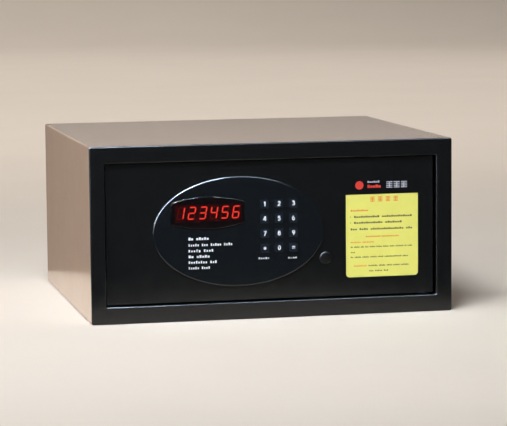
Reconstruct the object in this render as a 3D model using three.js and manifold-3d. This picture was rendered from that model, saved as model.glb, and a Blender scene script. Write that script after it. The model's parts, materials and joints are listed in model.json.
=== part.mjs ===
// An electronic in-room safe of laptop size: a folded steel case with a black front frame, and a recessed
// door that carries an oval keypad housing, a motor-driven pair of lock bolts and an emergency key lock.
//
// Millimetres, +Z up. The front faces -Y, and the origin is the middle of the base. Inside the "safe" group
// Y runs from 0 at the frame's front face to DEPTH at the back, and that group is set back by half the depth.

import * as THREE from "three";
import { mergeVertices } from "three/addons/utils/BufferGeometryUtils.js";
import Module from "manifold-3d";

const wasm = await Module();
wasm.setup();

// ---------------------------------------------------------------- driving dimensions

const WIDTH = 420;
const DEPTH = 370;
const HEIGHT = 200;
const GAP = 0.3; // left between separate pieces that touch
const MERGE = 1e-4; // vertices closer than this are one

const WALL = 2; // case sheet
const CORNER = 2; // outer bend radius of the case
const FRAME_THICK = 3;
const FRAME_EDGE = 1.5; // rounding of the frame's front edges
const OPENING = { left: -193, right: 191.4, bottom: 19.4, top: 181 };
const RETURN = { thick: 2, depth: 20, hingeSide: 197, hingeDepth: 24 };

const RECESS = 4; // door face behind the frame face
const DOOR_THICK = 5;
const DOOR = { left: -192.1, right: 188.4, bottom: 21.6, top: 180.2 };
const DOOR_BACK = RECESS + DOOR_THICK;

const HINGE = { x: 179, top: 179, rod: 4, pin: 3 };
HINGE.y = DOOR_BACK + GAP + HINGE.rod;
const BUSH = { bore: 3.3, body: 5, flange: 7, flangeThick: 1.5, gapToDoor: 0.4 };

const OVAL = { x: -40, z: 100.1, halfWidth: 99.4, halfHeight: 63, face: 1.4, edge: 2 };
const LENS = { x: -76.5, z: 122.5, halfWidth: 42.2, middle: 18.5, end: 12.1, face: 0.2, edge: 1.2 };
const MODULE = { x: -75, z: 122.5, width: 76, height: 19.4, front: 3.8, back: 11.6 };
const BOARD = { left: -120, right: 42, bottom: 66, top: 144, front: 12, back: 13.6 };

const KEY = { size: 10.6, face: 0.6, gap: 0.4, flange: 12.6, stem: 5, back: 9.2, edge: 0.6 };
const KEY_GRID = { x: -10.6, z: 130.6, pitchX: 16.65, pitchZ: 16.83 };
const KEY_ROWS = [
  ["key_1", "key_2", "key_3"],
  ["key_4", "key_5", "key_6"],
  ["key_7", "key_8", "key_9"],
  ["key_star", "key_0", "key_enter"],
];

const LABEL = { left: 84.5, right: 170.9, bottom: 42, top: 160.2, corner: 4, thick: 0.3 };

const OVERRIDE = { x: 61, z: 66.2, cap: 7.2, stem: 5, body: 8, plug: 4.9, camReach: 22 };
const COVER = { left: -176, right: 162, bottom: 34, top: 164, back: 46, wall: 1.5, flange: 8 };
const SCREW = { head: 2.9, headHigh: 1.8, shank: 1.4, tip: 5.6 };

const BOLT = { radius: 8, y: 26, tip: -190, tail: -150.3, z: [62, 138], hole: 9.3 };
const STRIKE = { depth: 42, thick: 2, bottom: 19.9, top: 180.7 };
const CARRIAGE = { left: -150, thick: 3, front: 17.6, back: 36, bottom: 48, top: 152 };
const RACK = { front: 19, back: 22, root: 97, top: 106, end: -86 };
const GEAR = { modulus: 1, teeth: 16, x: -112, pressure: Math.PI / 9, slack: 0.15, addendum: 0.85 };
GEAR.pitchRadius = (GEAR.modulus * GEAR.teeth) / 2;
GEAR.pitchLine = RACK.root - 1.25 * GEAR.modulus;
GEAR.z = GEAR.pitchLine - GEAR.pitchRadius;

const TRAY = { left: 91, right: 153, bottom: 92, top: 150, front: 24, back: 43, wall: 1.2 };
const CELL = { radius: 7.1, length: 50, pitch: 14.8, y: 33.5, nub: 2.6, nubHigh: 1 };
const HATCH = { left: 88, right: 156, bottom: 89, top: 153 };

const ANCHOR = { radius: 5, x: 140, frontY: 100, rearY: 290, z: 100 };
const MAT = { halfWidth: 203, front: 26, rear: 354, thick: 3 };

// ---------------------------------------------------------------- materials

const paint = (color, roughness, metalness = 0) =>
  new THREE.MeshStandardMaterial({ color, roughness, metalness });

const MATERIAL = {
  casePaint: paint(0xb6a391, 0.45),
  frontPaint: paint(0x191b1c, 0.45),
  plastic: paint(0x12181d, 0.35),
  keyRubber: paint(0x161c24, 0.5),
  lens: paint(0x2a0508, 0.1),
  module: paint(0x1a1a1a, 0.6),
  board: paint(0x1f5a35, 0.5),
  label: paint(0xe3e37a, 0.5),
  zinc: paint(0xb8bcc0, 0.35, 0.9),
  steel: paint(0xc9ccd0, 0.25, 1),
  brass: paint(0xc2a052, 0.3, 1),
  nylon: paint(0x141415, 0.6),
  blued: paint(0x2a2c2f, 0.4, 1),
  silicone: paint(0x9aa0a4, 0.7),
  coverPaint: paint(0x232527, 0.55),
  cell: paint(0x2f5d8a, 0.35, 0.3),
  carpet: paint(0x2c2e33, 0.95),
  wire: paint(0xa02020, 0.5),
};

// ---------------------------------------------------------------- solids

// A closed geometry as a manifold-3d solid.
function toSolid(geometry) {
  const bare = geometry.index ? geometry.toNonIndexed() : geometry.clone();
  bare.deleteAttribute("normal");
  bare.deleteAttribute("uv");
  const merged = mergeVertices(bare, MERGE);
  const vertProperties = merged.attributes.position.array;
  const triVerts = new Uint32Array(merged.index.array);
  return new wasm.Manifold(new wasm.Mesh({ numProp: 3, vertProperties, triVerts }));
}

// A manifold-3d solid as a geometry with flat faces.
function toGeometry(solid) {
  const mesh = solid.getMesh();
  const shared = new THREE.BufferGeometry();
  shared.setAttribute("position", new THREE.BufferAttribute(mesh.vertProperties, 3));
  shared.setIndex(new THREE.BufferAttribute(mesh.triVerts, 1));
  const flat = shared.toNonIndexed();
  flat.computeVertexNormals();
  return flat;
}

const cut = (base, ...tools) =>
  toGeometry(tools.reduce((solid, tool) => solid.subtract(toSolid(tool)), toSolid(base)));

const join = (base, ...others) =>
  toGeometry(others.reduce((solid, other) => solid.add(toSolid(other)), toSolid(base)));

// A block between two planes on each axis.
function block(x0, x1, y0, y1, z0, z1) {
  const geometry = new THREE.BoxGeometry(x1 - x0, y1 - y0, z1 - z0);
  return geometry.translate((x0 + x1) / 2, (y0 + y1) / 2, (z0 + z1) / 2);
}

// Round bars along each axis.
const barX = (radius, x0, x1, y, z, sides = 24) =>
  new THREE.CylinderGeometry(radius, radius, x1 - x0, sides)
    .rotateZ(Math.PI / 2)
    .translate((x0 + x1) / 2, y, z);

const barY = (radius, x, y0, y1, z, sides = 24) =>
  new THREE.CylinderGeometry(radius, radius, y1 - y0, sides).translate(x, (y0 + y1) / 2, z);

const barZ = (radius, x, y, z0, z1, sides = 24) =>
  new THREE.CylinderGeometry(radius, radius, z1 - z0, sides)
    .rotateX(Math.PI / 2)
    .translate(x, y, (z0 + z1) / 2);

// A turned solid about its own +Y axis, from [radius, along] pairs that start and end on the axis.
function turned(profile, sides = 24) {
  const points = profile.map(([radius, along]) => new THREE.Vector2(radius, along));
  return new THREE.LatheGeometry(points, sides);
}

// A rounded rectangle in X and Z.
function roundedRect(x0, x1, z0, z1, radius) {
  const shape = new THREE.Shape();
  shape.moveTo(x0 + radius, z0);
  shape.absarc(x1 - radius, z0 + radius, radius, -Math.PI / 2, 0);
  shape.absarc(x1 - radius, z1 - radius, radius, 0, Math.PI / 2);
  shape.absarc(x0 + radius, z1 - radius, radius, Math.PI / 2, Math.PI);
  shape.absarc(x0 + radius, z0 + radius, radius, Math.PI, Math.PI * 1.5);
  return shape;
}

// A shape in X and Z given thickness from y0 to y1. An edge value rounds its front edges.
function plate(shape, y0, y1, { edge = 0, steps = 2, curveSegments = 2 } = {}) {
  const rounding = {
    bevelEnabled: edge > 0,
    bevelThickness: edge,
    bevelSize: edge,
    bevelOffset: -edge,
    bevelSegments: steps,
  };
  const geometry = new THREE.ExtrudeGeometry(shape, { depth: y1 - y0 - edge, curveSegments, ...rounding });
  geometry.rotateX(Math.PI / 2).translate(0, edge ? y1 : y1 - edge, 0);
  if (!edge) return geometry;
  const far = 2 * WIDTH;
  return cut(geometry, block(-far, far, y1, y1 + far, -far, far));
}

// A shape in X and Y given height from z0 to z1.
const slice = (shape, z0, z1, curveSegments = 4) =>
  new THREE.ExtrudeGeometry(shape, { depth: z1 - z0, bevelEnabled: false, curveSegments })
    .translate(0, 0, z0);

// A round lead along a smooth route through the given points.
function lead(points, radius, steps) {
  const route = new THREE.CatmullRomCurve3(points.map((p) => new THREE.Vector3(...p)));
  const section = new THREE.Shape();
  section.absarc(0, 0, radius, 0, Math.PI * 2);
  return new THREE.ExtrudeGeometry(section, { extrudePath: route, steps, curveSegments: 4 });
}

// ---------------------------------------------------------------- groups

const root = new THREE.Group();
const safe = new THREE.Group();
const casing = new THREE.Group();
const door = new THREE.Group();
safe.position.y = -DEPTH / 2;
root.add(safe);
safe.add(casing, door);

function add(group, name, geometry, material, x = 0, y = 0, z = 0) {
  const mesh = new THREE.Mesh(geometry, material);
  mesh.name = name;
  mesh.position.set(x, y, z);
  group.add(mesh);
}

// ---------------------------------------------------------------- case

// Top, sides and floor folded from one sheet, with anchor holes in the floor.
function caseShell() {
  const half = WIDTH / 2;
  const outline = roundedRect(-half, half, 0, HEIGHT, CORNER);
  const inside = roundedRect(-half + WALL, half - WALL, WALL, HEIGHT - WALL, CORNER / 2);
  outline.holes.push(inside);
  const tube = plate(outline, FRAME_THICK + GAP, DEPTH, { curveSegments: 5 });
  const anchors = [-1, 1].flatMap((side) =>
    [ANCHOR.frontY, ANCHOR.rearY].map((y) => barZ(ANCHOR.radius, side * ANCHOR.x, y, -1, WALL + 1)),
  );
  return cut(tube, ...anchors);
}

// A shallow pan welded into the back of the case, with two anchor holes.
function rearPanel() {
  const half = WIDTH / 2 - WALL - GAP;
  const low = WALL + GAP;
  const high = HEIGHT - WALL - GAP;
  const sheet = 1.5;
  const flange = 12;
  const back = DEPTH - 0.5;
  const front = back - flange;
  const pan = plate(roundedRect(-half, half, low, high, CORNER), front, back);
  const hollow = block(-half + sheet, half - sheet, front - 1, back - sheet, low + sheet, high - sheet);
  const anchors = [-1, 1].map((side) => barY(ANCHOR.radius, side * ANCHOR.x, front, back + 1, ANCHOR.z));
  return cut(pan, hollow, ...anchors);
}

// The black frame: a front plate with returns behind its opening, which also hold the hinge bushes.
function frontFrame() {
  const half = WIDTH / 2;
  const outline = roundedRect(-half, half, 0, HEIGHT, CORNER);
  outline.holes.push(roundedRect(OPENING.left, OPENING.right, OPENING.bottom, OPENING.top, FRAME_EDGE));
  const front = plate(outline, 0, FRAME_THICK, { edge: FRAME_EDGE, steps: 4, curveSegments: 5 });
  const y0 = FRAME_THICK - 0.5;
  const side = RETURN.hingeSide;
  const top = OPENING.top + RETURN.thick;
  const bottom = OPENING.bottom - RETURN.thick;
  const upper = block(OPENING.left, side, y0, RETURN.depth, OPENING.top, top);
  const lower = block(OPENING.left, side, y0, RETURN.depth, bottom, OPENING.bottom);
  const hingeSide = block(side, side + RETURN.thick, y0, RETURN.hingeDepth, bottom, top);
  const seat = BUSH.body + GAP;
  const bushSeats = barZ(seat, HINGE.x, HINGE.y, bottom - 1, top + 1);
  return cut(join(front, upper, lower, hingeSide), bushSeats);
}

// The lock side's return, with a hole for each bolt and a flange to the case wall.
function strikePlate() {
  const x0 = OPENING.left - STRIKE.thick;
  const y0 = FRAME_THICK + GAP;
  const wall = -WIDTH / 2 + WALL + GAP;
  const web = block(x0, OPENING.left, y0, STRIKE.depth, STRIKE.bottom, STRIKE.top);
  const flange = block(wall, x0 + 1, STRIKE.depth - STRIKE.thick, STRIKE.depth, STRIKE.bottom, STRIKE.top);
  const holes = BOLT.z.map((z) => barX(BOLT.hole, x0 - 1, OPENING.left + 1, BOLT.y, z));
  return cut(join(web, flange), ...holes);
}

// A flanged black nylon bush, flange up. The flange's free face is at 0 and the body runs down.
function hingeBush() {
  const length = 5;
  const { bore, body, flange, flangeThick } = BUSH;
  const profile = [
    [0, -length],
    [body, -length],
    [body, -flangeThick],
    [flange, -flangeThick],
    [flange, 0],
    [0, 0],
  ];
  return cut(turned(profile).rotateX(Math.PI / 2), barZ(bore, 0, 0, -length - 1, 1));
}

// A leaf spring under the frame's upper return that pushes the unlocked door open.
function doorSpring() {
  const sheet = 0.8;
  const [fixed, bend, tip] = [95, 117, 166];
  const rest = DOOR_BACK + GAP;
  const foot = rest + 1.5;
  const bowed = rest + 3.5;
  const low = 173;
  const high = HINGE.top + BUSH.gapToDoor + 1.3;
  const blade = new THREE.Shape();
  blade.moveTo(fixed, foot);
  blade.lineTo(bend, foot);
  blade.quadraticCurveTo((bend + tip) / 2, bowed, tip, rest);
  blade.lineTo(tip, rest + sheet);
  blade.quadraticCurveTo((bend + tip) / 2, bowed + sheet, bend, foot + sheet);
  blade.lineTo(fixed, foot + sheet);
  const leaf = slice(blade, low, HINGE.top - 1);
  const stand = block(fixed, bend - 2, foot, foot + sheet, low, high);
  const shoe = block(fixed, bend - 2, foot, RETURN.depth - 1, high - sheet, high);
  return join(leaf, stand, shoe);
}

function buildCase() {
  const floorTop = WALL + GAP;
  const lowerBush = DOOR.bottom - BUSH.gapToDoor;
  const upperBush = HINGE.top + BUSH.gapToDoor;
  const mat = block(-MAT.halfWidth, MAT.halfWidth, MAT.front, MAT.rear, floorTop, floorTop + MAT.thick);
  add(casing, "case_shell", caseShell(), MATERIAL.casePaint);
  add(casing, "rear_panel", rearPanel(), MATERIAL.casePaint);
  add(casing, "front_frame", frontFrame(), MATERIAL.frontPaint);
  add(casing, "strike_plate", strikePlate(), MATERIAL.zinc);
  add(casing, "hinge_bush_lower", hingeBush(), MATERIAL.nylon, HINGE.x, HINGE.y, lowerBush);
  const flipped = hingeBush().rotateX(Math.PI);
  add(casing, "hinge_bush_upper", flipped, MATERIAL.nylon, HINGE.x, HINGE.y, upperBush);
  add(casing, "door_spring", doorSpring(), MATERIAL.blued);
  add(casing, "floor_mat", mat, MATERIAL.carpet);
}

// ---------------------------------------------------------------- door

const keyX = (column) => KEY_GRID.x + column * KEY_GRID.pitchX;
const keyZ = (row) => KEY_GRID.z - row * KEY_GRID.pitchZ;

// The housing is held by four posts, clear of the display and the keys.
const POSTS = [
  { x: -100, z: 66 },
  { x: -72, z: 151 },
  { x: 5, z: 150 },
  { x: 8, z: 55 },
];

// Three screws along each long side of the inner cover's flange.
const SCREWS = [COVER.bottom - COVER.flange / 2, COVER.top + COVER.flange / 2].flatMap((z) =>
  [COVER.left + 10, (COVER.left + COVER.right) / 2, COVER.right - 10].map((x) => ({ x, z })),
);

// The steel door plate, with cut-outs for the display, the keys and the emergency lock, and a
// relief in its back round the upper hinge bush.
function doorPlate() {
  const outline = roundedRect(DOOR.left, DOOR.right, DOOR.bottom, DOOR.top, CORNER);
  const body = plate(outline, RECESS, DOOR_BACK, { edge: 0.8, steps: 3, curveSegments: 4 });
  const [y0, y1] = [RECESS - 1, DOOR_BACK + 1];
  const m = 1; // room round the display module
  const display = block(
    MODULE.x - MODULE.width / 2 - m, MODULE.x + MODULE.width / 2 + m,
    y0, y1, MODULE.z - MODULE.height / 2 - m, MODULE.z + MODULE.height / 2 + m,
  );
  const reach = KEY.flange / 2 + 1.5;
  const keypad = block(keyX(0) - reach, keyX(2) + reach, y0, y1, keyZ(3) - reach, keyZ(0) + reach);
  const keyhole = barY(OVERRIDE.stem + 0.6, OVERRIDE.x, y0, y1, OVERRIDE.z);
  const posts = POSTS.map(({ x, z }) => barY(3, x, y0, y1, z, 16));
  const screws = SCREWS.map(({ x, z }) => barY(SCREW.shank + 0.4, x, SCREW.tip - 0.4, y1, z, 12));
  const bushRoom = barZ(BUSH.flange + 0.4, HINGE.x, HINGE.y, HINGE.top, DOOR.top + 1);
  return cut(body, display, keypad, keyhole, bushRoom, ...posts, ...screws);
}

// The round bar welded behind the door's edge, turned down to a pin at each end.
function hingeRod() {
  const low = DOOR.bottom - BUSH.gapToDoor + GAP;
  const high = HINGE.top - GAP;
  const pinLow = low - 5;
  const pinHigh = high + 5.5;
  const profile = [
    [0, pinLow],
    [HINGE.pin, pinLow],
    [HINGE.pin, low],
    [HINGE.rod, low],
    [HINGE.rod, high],
    [HINGE.pin, high],
    [HINGE.pin, pinHigh],
    [0, pinHigh],
  ];
  return turned(profile).rotateX(Math.PI / 2);
}

// The display window's outline: upright ends joined by two shallow arcs.
function lensShape(grow = 0) {
  const halfWidth = LENS.halfWidth + grow;
  const end = LENS.end + grow;
  const rise = LENS.middle - LENS.end;
  const radius = (halfWidth ** 2 + rise ** 2) / (2 * rise);
  const sweep = Math.asin(halfWidth / radius);
  const shape = new THREE.Shape();
  shape.moveTo(LENS.x + halfWidth, LENS.z - end);
  const up = Math.PI / 2;
  shape.absarc(LENS.x, LENS.z + end + rise - radius, radius, up - sweep, up + sweep);
  shape.absarc(LENS.x, LENS.z - end - rise + radius, radius, -up - sweep, -up + sweep);
  return shape;
}

// The oval plastic housing, open for the display window and the keys, with its four posts.
function keypadHousing() {
  const outline = new THREE.Shape();
  outline.absellipse(OVAL.x, OVAL.z, OVAL.halfWidth, OVAL.halfHeight, 0, Math.PI * 2);
  const back = RECESS - GAP;
  const body = plate(outline, OVAL.face, back, { edge: OVAL.edge, steps: 4, curveSegments: 32 });
  const window = plate(lensShape(GAP), 0, RECESS, { curveSegments: 8 });
  const reach = KEY.size / 2 + KEY.gap;
  const keyHoles = KEY_ROWS.flatMap((names, row) =>
    names.map((_, column) => {
      const [x, z] = [keyX(column), keyZ(row)];
      return block(x - reach, x + reach, 0, RECESS, z - reach, z + reach);
    }),
  );
  const posts = POSTS.map(({ x, z }) => barY(2.5, x, back - 0.5, DOOR_BACK + 1, z, 12));
  return join(cut(body, window, ...keyHoles), ...posts);
}

const displayLens = () =>
  plate(lensShape(), LENS.face, RECESS - 0.6, { edge: LENS.edge, steps: 3, curveSegments: 8 });

function displayModule() {
  const { x, z, width, height, front, back } = MODULE;
  return block(x - width / 2, x + width / 2, front, back, z - height / 2, z + height / 2);
}

// The mat under the keys: a silicone sheet with one raised pad for each key.
function keypadMat() {
  const reach = KEY.flange / 2 + 2;
  const front = BOARD.front - 1;
  const sheet = block(
    keyX(0) - reach, keyX(2) + reach, front, BOARD.front - GAP, keyZ(3) - reach, keyZ(0) + reach,
  );
  const pads = KEY_ROWS.flatMap((names, row) =>
    names.map((_, column) => barY(3, keyX(column), front - 0.5, front + 0.3, keyZ(row), 8)),
  );
  return join(sheet, ...pads);
}

// One key: a rounded cap, a flange that keeps it behind the housing, and a stem to the mat.
function keySolid() {
  const half = KEY.size / 2;
  const flangeFront = RECESS;
  const flangeBack = flangeFront + 1;
  const cap = plate(roundedRect(-half, half, -half, half, 1.2), KEY.face, flangeFront + 0.5, {
    edge: KEY.edge,
  });
  const [f, s] = [KEY.flange / 2, KEY.stem / 2];
  const flange = block(-f, f, flangeFront, flangeBack, -f, f);
  const stem = block(-s, s, flangeBack - 0.5, KEY.back, -s, s);
  return join(cap, flange, stem);
}

const instructionLabel = () =>
  plate(
    roundedRect(LABEL.left, LABEL.right, LABEL.bottom, LABEL.top, LABEL.corner),
    RECESS - GAP - LABEL.thick,
    RECESS - GAP,
  );

// The cover screwed to the inside of the door: a box with a flange, open towards the door.
function innerCover() {
  const { left, right, bottom, top, back, wall, flange } = COVER;
  const y0 = DOOR_BACK + GAP;
  const brim = plate(
    roundedRect(left - flange, right + flange, bottom - flange, top + flange, 3), y0, y0 + wall,
  );
  const box = plate(roundedRect(left, right, bottom, top, 4), y0, back);
  const hollow = block(left + wall, right - wall, y0 - 1, back - wall, bottom + wall, top - wall);
  const bolts = BOLT.z.map((z) => barX(BOLT.radius + 0.5, left - 1, left + wall + 1, BOLT.y, z));
  const hatch = block(HATCH.left, HATCH.right, back - wall - 1, back + 1, HATCH.bottom, HATCH.top);
  const screws = SCREWS.map(({ x, z }) => barY(SCREW.shank + 0.4, x, y0 - 1, y0 + wall + 1, z, 12));
  return cut(join(brim, box), hollow, hatch, ...bolts, ...screws);
}

// A pan-head screw along +Y with its head's seat at 0 and a cross recess.
function coverScrew() {
  const { head, headHigh, shank, tip } = SCREW;
  const length = DOOR_BACK + GAP + COVER.wall + GAP - tip;
  const profile = [
    [0, -length],
    [shank, -length],
    [shank, 0],
    [head, 0],
    [head, headHigh * 0.45],
    [head * 0.7, headHigh * 0.9],
    [0, headHigh],
  ];
  const slot = 0.35;
  const across = head * 0.6;
  const deep = headHigh * 0.4;
  return cut(
    turned(profile, 12),
    block(-across, across, deep, headHigh + 1, -slot, slot),
    block(-slot, slot, deep, headHigh + 1, -across, across),
  );
}

function buildDoor() {
  const { front, back, left, right, bottom, top } = BOARD;
  add(door, "door_plate", doorPlate(), MATERIAL.frontPaint);
  add(door, "hinge_rod", hingeRod(), MATERIAL.steel, HINGE.x, HINGE.y, 0);
  add(door, "keypad_housing", keypadHousing(), MATERIAL.plastic);
  add(door, "display_lens", displayLens(), MATERIAL.lens);
  add(door, "display_module", displayModule(), MATERIAL.module);
  add(door, "control_board", block(left, right, front, back, bottom, top), MATERIAL.board);
  add(door, "keypad_mat", keypadMat(), MATERIAL.silicone);
  add(door, "instruction_label", instructionLabel(), MATERIAL.label);
  add(door, "inner_cover", innerCover(), MATERIAL.coverPaint);
  const screwSeat = DOOR_BACK + GAP + COVER.wall + GAP;
  SCREWS.forEach(({ x, z }, i) =>
    add(door, `cover_screw_${i + 1}`, coverScrew(), MATERIAL.steel, x, screwSeat, z),
  );
  KEY_ROWS.forEach((names, row) =>
    names.forEach((name, column) =>
      add(door, name, keySolid(), MATERIAL.keyRubber, keyX(column), 0, keyZ(row)),
    ),
  );
}

// ---------------------------------------------------------------- lock

// The bracket that carries the bolts and the motor, on four feet off the door plate.
function lockChassis() {
  const [left, right, bottom, top] = [-172, -50, 37, 161];
  const [front, sheet] = [15, 1.5];
  const panel = block(left, right, front, front + sheet, bottom, top);
  const cheek = block(left - sheet, left, front, CARRIAGE.back, bottom, top);
  const foot = 10;
  const feet = [bottom, top - foot].flatMap((z) =>
    [left, right - foot].map((x) => block(x, x + foot, DOOR_BACK + GAP, front + 0.5, z, z + foot)),
  );
  const holes = BOLT.z.map((z) => barX(BOLT.radius + 0.4, left - 3, left + 1, BOLT.y, z));
  return cut(join(panel, cheek, ...feet), ...holes);
}

// The upright that joins both bolts, with the rack that the motor's pinion drives.
function boltCarriage() {
  const { left, thick, front, back, bottom, top } = CARRIAGE;
  const upright = block(left, left + thick, front, back, bottom, top);
  const arm = block(left + thick - 1, RACK.end, RACK.front, RACK.back, RACK.root, RACK.top);
  const pitch = Math.PI * GEAR.modulus;
  const tip = GEAR.pitchLine - GEAR.addendum * GEAR.modulus;
  const lean = Math.tan(GEAR.pressure);
  const halfWidth = (z) => pitch / 4 - GEAR.slack / 2 - (GEAR.pitchLine - z) * lean;
  const teeth = [-2, -1, 0, 1, 2, 3, 4, 5, 6, 7].map((i) => {
    const x = GEAR.x + (i + 0.5) * pitch;
    const tooth = new THREE.Shape();
    const buried = RACK.root + 0.5;
    tooth.moveTo(x - halfWidth(RACK.root), buried);
    tooth.lineTo(x - halfWidth(RACK.root), RACK.root);
    tooth.lineTo(x - halfWidth(tip), tip);
    tooth.lineTo(x + halfWidth(tip), tip);
    tooth.lineTo(x + halfWidth(RACK.root), RACK.root);
    tooth.lineTo(x + halfWidth(RACK.root), buried);
    return plate(tooth, RACK.front, RACK.back);
  });
  return join(upright, arm, ...teeth);
}

// A bolt with a chamfered nose, from its tip at 0 along +X.
function lockBolt() {
  const chamfer = 1.5;
  const profile = [
    [0, 0],
    [BOLT.radius - chamfer, 0],
    [BOLT.radius, chamfer],
    [BOLT.radius, BOLT.tail - BOLT.tip],
    [0, BOLT.tail - BOLT.tip],
  ];
  return turned(profile, 32).rotateZ(-Math.PI / 2);
}

// The bar from the carriage to the emergency lock's cam, ending in an upturned tab.
function releaseLink() {
  const [bottom, top] = [48, 56];
  const [front, back] = [CARRIAGE.front, CARRIAGE.front + 2];
  const tab = OVERRIDE.x + OVERRIDE.camReach + 0.6;
  const bar = block(CARRIAGE.left + CARRIAGE.thick + GAP, tab + 3, front, back, bottom, top);
  const upturn = block(tab, tab + 3, front, CARRIAGE.back, bottom, top + 4);
  return join(bar, upturn);
}

// The outline of an involute spur gear in X and Z, with one tooth pointing to +Z.
function gearShape() {
  const { modulus, teeth, pitchRadius, pressure, slack, addendum } = GEAR;
  const base = pitchRadius * Math.cos(pressure);
  const tip = pitchRadius + addendum * modulus;
  const foot = pitchRadius - 1.25 * modulus;
  const involute = (radius) => {
    const t = Math.sqrt(Math.max((radius / base) ** 2 - 1, 0));
    return t - Math.atan(t);
  };
  const halfTooth = (Math.PI * modulus) / 4 - slack / 2;
  const halfAngle = (radius) => halfTooth / pitchRadius + involute(pitchRadius) - involute(radius);
  const radii = [0, 1 / 3, 2 / 3, 1].map((share) => base + (tip - base) * share);
  const flank = [foot, ...radii].map((radius) => ({ radius, angle: halfAngle(Math.max(radius, base)) }));
  const shape = new THREE.Shape();
  for (let tooth = 0; tooth < teeth; tooth += 1) {
    const middle = Math.PI / 2 + (tooth * 2 * Math.PI) / teeth;
    const rising = flank.map(({ radius, angle }) => [radius, middle - angle]);
    const falling = flank.map(({ radius, angle }) => [radius, middle + angle]).reverse();
    for (const [radius, angle] of [...rising, ...falling]) {
      const [x, z] = [radius * Math.cos(angle), radius * Math.sin(angle)];
      if (shape.curves.length || shape.currentPoint.lengthSq() > 0) shape.lineTo(x, z);
      else shape.moveTo(x, z);
    }
  }
  return shape;
}

// The pinion on its shaft, which runs back into the gearbox.
function drivePinion() {
  const gear = plate(gearShape(), RACK.front - 0.4, RACK.back + 0.4);
  return join(gear, barY(2, 0, RACK.back - 1, RACK.back + 5, 0, 16));
}

// The gearbox, with a bore for the pinion's shaft.
function gearbox() {
  const [front, back] = [RACK.back + 1.2, 40];
  const body = block(GEAR.x - 12, GEAR.x + 12, front, back, GEAR.z - 12, GEAR.z + 12);
  return cut(body, barY(2.5, GEAR.x, front - 1, RACK.back + 6, GEAR.z, 16));
}

// The motor's can and rear boss, hanging below the gearbox.
function driveMotor() {
  const profile = [
    [0, -35],
    [3, -35],
    [3, -33],
    [8.2, -33],
    [9, -32.2],
    [9, 0],
    [0, 0],
  ];
  return turned(profile, 24).rotateX(Math.PI / 2);
}

// The emergency lock's barrel, flanged against the door plate.
function overrideBarrel() {
  const front = DOOR_BACK + GAP;
  const barrel = barY(OVERRIDE.body, OVERRIDE.x, front, 31, OVERRIDE.z);
  const flange = barY(OVERRIDE.body + 2.5, OVERRIDE.x, front, front + 2, OVERRIDE.z);
  return cut(join(barrel, flange), barY(OVERRIDE.plug + 0.3, OVERRIDE.x, front - 1, 32, OVERRIDE.z));
}

// The turning plug with its keyway.
function overridePlug() {
  const plug = barY(OVERRIDE.plug, 0, DOOR_BACK + 0.8, 32, 0);
  return cut(plug, block(-0.8, 0.8, DOOR_BACK, 28, -3.4, 3.4));
}

// The cam on the plug's end, hanging down while the key is out.
function overrideCam() {
  const [front, back] = [32.3, 34.3];
  const shape = new THREE.Shape();
  const [hub, nose] = [6, 3];
  const reach = OVERRIDE.camReach - nose;
  shape.absarc(0, 0, hub, 0, Math.PI);
  shape.absarc(0, -reach, nose, Math.PI, Math.PI * 2);
  return plate(shape, front, back, { curveSegments: 6 });
}

// The domed cap over the emergency keyhole, with the stem that grips the door plate.
function overrideCap() {
  const back = RECESS - GAP;
  const { cap, stem } = OVERRIDE;
  const dome = 1.4;
  const rim = back - 1;
  const steps = [0, 1, 2, 3, 4, 5].map((i) => {
    const angle = (i / 5) * (Math.PI / 2);
    return [cap * Math.sin(angle), rim - dome * Math.cos(angle)];
  });
  return turned([...steps, [cap, back], [stem, back], [stem - 0.6, DOOR_BACK - 1], [0, DOOR_BACK - 1]], 32);
}

function buildLock() {
  add(door, "lock_chassis", lockChassis(), MATERIAL.zinc);
  add(door, "bolt_carriage", boltCarriage(), MATERIAL.zinc);
  BOLT.z.forEach((z, i) =>
    add(door, ["lock_bolt_lower", "lock_bolt_upper"][i], lockBolt(), MATERIAL.steel, BOLT.tip, BOLT.y, z),
  );
  add(door, "release_link", releaseLink(), MATERIAL.zinc);
  add(door, "drive_pinion", drivePinion(), MATERIAL.nylon, GEAR.x, 0, GEAR.z);
  add(door, "drive_gearbox", gearbox(), MATERIAL.plastic);
  add(door, "drive_motor", driveMotor(), MATERIAL.steel, GEAR.x, 31.6, GEAR.z - 12 - GAP);
  add(door, "override_barrel", overrideBarrel(), MATERIAL.zinc);
  add(door, "override_plug", overridePlug(), MATERIAL.brass, OVERRIDE.x, 0, OVERRIDE.z);
  add(door, "override_cam", overrideCam(), MATERIAL.zinc, OVERRIDE.x, 0, OVERRIDE.z);
  add(door, "override_cap", overrideCap(), MATERIAL.plastic, OVERRIDE.x, 0, OVERRIDE.z);
}

// ---------------------------------------------------------------- power

// An open tray for four cells side by side.
function batteryTray() {
  const { left, right, bottom, top, front, back, wall } = TRAY;
  const hollow = block(left + wall, right - wall, front + wall, back + 1, bottom + wall, top - wall);
  return cut(block(left, right, front, back, bottom, top), hollow);
}

// One cell along +Z from 0, with its positive nub at the top.
function cellSolid() {
  const { radius, length, nub, nubHigh } = CELL;
  const profile = [
    [0, 0],
    [radius - 0.4, 0],
    [radius, 0.4],
    [radius, length - 0.4],
    [radius - 0.4, length],
    [nub, length],
    [nub, length + nubHigh],
    [0, length + nubHigh],
  ];
  return turned(profile, 20).rotateX(Math.PI / 2);
}

// The battery hatch in the inner cover, with a finger notch in its lower edge.
function batteryHatch() {
  const { left, right, bottom, top } = HATCH;
  const fit = 0.4;
  const back = COVER.back + 0.4;
  const panel = plate(roundedRect(left + fit, right - fit, bottom + fit, top - fit, 2), back - 2, back);
  return cut(panel, barY(7, (left + right) / 2, back - 3, back + 1, bottom));
}

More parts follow.
